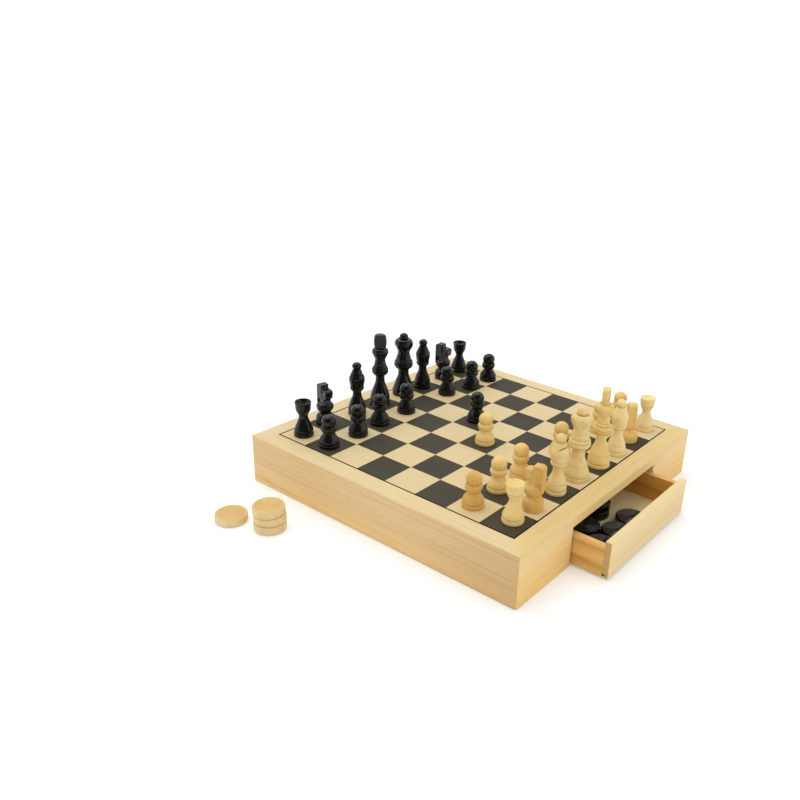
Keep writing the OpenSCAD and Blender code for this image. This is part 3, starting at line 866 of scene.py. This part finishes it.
def cut_slot(thing, place):
    """Saws the slot in a bishop's head, as the CAD node has it, in mm."""
    start, level, width, reach = 2.3, 0.72 * BISHOP_H, 0.9, 17.5
    slope = math.radians(35)
    saw = bmesh.new()
    bmesh.ops.create_cube(saw, size=1)
    middle = (start / math.cos(slope) + reach / 2, 0, width / 2)
    shape = Matrix.Translation(middle) @ Matrix.Diagonal((reach, reach, width, 1))
    tilt = Matrix.Translation((0, 0, level)) @ Matrix.Rotation(-slope, 4, "Y")
    saw.transform(place @ tilt @ shape)
    blade = link_mesh("saw_blade", saw, None)
    cut = thing.modifiers.new("slot", "BOOLEAN")
    cut.operation = "DIFFERENCE"
    cut.solver = "EXACT"
    cut.object = blade
    applied(thing)
    bpy.data.objects.remove(blade)


def make_man(node, kind, material, knight):
    """A man in place of its CAD node. knight is the mesh that all knights share."""
    drawn_as = "deep rook" if kind == "rook" and node.startswith("dark") else kind
    profile, drawn_r, drawn_h = PROFILES[drawn_as]
    place = to_place(node, TURNS.get(node, 0), drawn_r, drawn_h)
    mesh = bmesh.new()
    if kind == "knight":
        mesh.from_mesh(knight)
    else:
        lathe(mesh, profile)
    if kind in SHAPING:
        for v in mesh.verts:
            SHAPING[kind](v)
    mesh.transform(place)
    thing = link_mesh(f"{node}_turned", mesh, material, MAN_CORNER)
    if kind == "bishop":
        cut_slot(thing, place)
        thing.data.set_sharp_from_angle(angle=math.radians(MAN_CORNER))
    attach(thing, node)
    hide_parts(node)


low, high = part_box("table_draught")
DRAUGHT_R = (high.x - low.x) / 2 / MM
DRAUGHT_T = (high.z - low.z) / MM
DRAUGHT_SEGMENTS = 72
DRAUGHT_CORNER = 50
# Grooves turned round both faces: how many, their depth and half their width. Then the rounding
# of the rim.
RINGS = 6
RING_DEPTH = 0.6
RING_HALF = 0.45
RIM_ROUND = 1.2


def draught_profile(r, t):
    """Half section of a draught: a round rim, and rings on both faces with ridges between them."""
    step = (r - RIM_ROUND - 0.4) / (RINGS + 0.5)
    face = [(0, t - 0.25), (step * 0.3, t - 0.1)]
    for k in range(1, RINGS + 1):
        ring, lip = step * (k - 0.1), t - 0.05
        face += [(ring - RING_HALF, lip), (ring, t - RING_DEPTH, 1), (ring + RING_HALF, lip)]
        face += [(ring + step / 2, t, -1)]
    face += arc((r - RIM_ROUND, t - RIM_ROUND), RIM_ROUND, RIM_ROUND, 90, 0, 6)
    under = [(x, t - z, *deep) for x, z, *deep in face]
    return under + [(r, t / 2)] + face[::-1]


def make_draughts(node, body, material):
    """One piece in place of a CAD node, with a draught for each of the node's solids."""
    mesh = bmesh.new()
    for spot in undersides(node):
        before = len(mesh.verts)
        lathe(mesh, draught_profile(DRAUGHT_R, DRAUGHT_T), DRAUGHT_SEGMENTS)
        mesh.verts.ensure_lookup_table()
        place = Matrix.Translation(spot) @ Matrix.Scale(MM, 4)
        bmesh.ops.transform(mesh, matrix=place, verts=mesh.verts[before:])
    thing = link_mesh(f"{node}_turned", mesh, material, DRAUGHT_CORNER)
    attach(thing, body)
    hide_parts(node)


def undersides(node):
    """Centre of the underside of each separate solid of a CAD node."""
    mesh = bmesh.new()
    mesh.from_mesh(nodes[node].data)
    bmesh.ops.remove_doubles(mesh, verts=mesh.verts, dist=0.01 * MM)
    left = set(mesh.verts)
    found = []
    while left:
        start = min(left, key=lambda v: v.index)
        stack, island = [start], {start}
        while stack:
            for edge in stack.pop().link_edges:
                for v in edge.verts:
                    if v not in island:
                        island.add(v)
                        stack.append(v)
        left -= island
        xs, ys, zs = ([v.co[k] for v in island] for k in range(3))
        found.append(((min(xs) + max(xs)) / 2, (min(ys) + max(ys)) / 2, min(zs)))
    mesh.free()
    return sorted(found)


# Each man is turned from its own stick, and these are the ones that aren't straw-coloured.
TINTS = {
    "pale_bishop_near": "cream", "pale_queen": "cream",
    "pale_bishop_far": "light", "pale_rook_far": "light",
    "pale_knight_near": "brown", "pale_knight_far": "honey", "pale_pawn_1": "brown",
    "pale_pawn_3": "honey", "pale_pawn_5": "honey", "pale_pawn_6": "honey", "pale_pawn_8": "honey",
}


def make_men_and_draughts():
    dark = lacquer("black_lacquer", 20)
    pale = {
        "light": turned_wood("beech_light", "#fae4ac", "#f2d89a", "#b98b48", 24),
        "cream": turned_wood("beech_cream", "#f0d799", "#e9ca84", "#b58440", 21),
        "straw": turned_wood("beech_straw", "#f5db94", "#eecd80", "#b07c38", 22),
        "honey": turned_wood("beech_honey", "#f2cf82", "#eac170", "#a87430", 23),
        "brown": turned_wood("beech_brown", "#e6bf76", "#dbae60", "#9c6a2a", 25),
    }
    plain_draughts = turned_wood("draught_beech", "#f2dcaa", "#e9cd96", "#a8783a", 26,
                                 top="#e6c174", grooves=0.6, streaks=0.14)
    black_draughts = lacquer("draught_lacquer", 27, ridge_highlight=0.8)
    knight = knight_mesh()
    men = [b for b in frame["bodies"] if b.startswith(("dark_", "pale_"))]
    for node in men:
        kind = node.split("_")[1]
        material = dark if node.startswith("dark") else pale[TINTS.get(node, "straw")]
        make_man(node, kind, material, knight.data)
    bpy.data.objects.remove(knight)
    make_draughts("dark_draughts", "right_drawer", black_draughts)
    make_draughts("pale_draughts", "left_drawer", plain_draughts)
    loose = [f"stack_draught_{place}" for place in ("lower", "middle", "upper")]
    for name in ("table_draught", *loose):
        make_draughts(name, name, plain_draughts)


# ---------- making ----------

bpy.context.scene.view_settings.view_transform = "Standard"
add_camera()
add_world()
add_floor()
for name, (place, size, watts) in LAMPS.items():
    add_lamp(name, place, size, watts)
finish_case()
finish_board()
finish_drawers()
make_men_and_draughts()

bpy.context.view_layer.update()
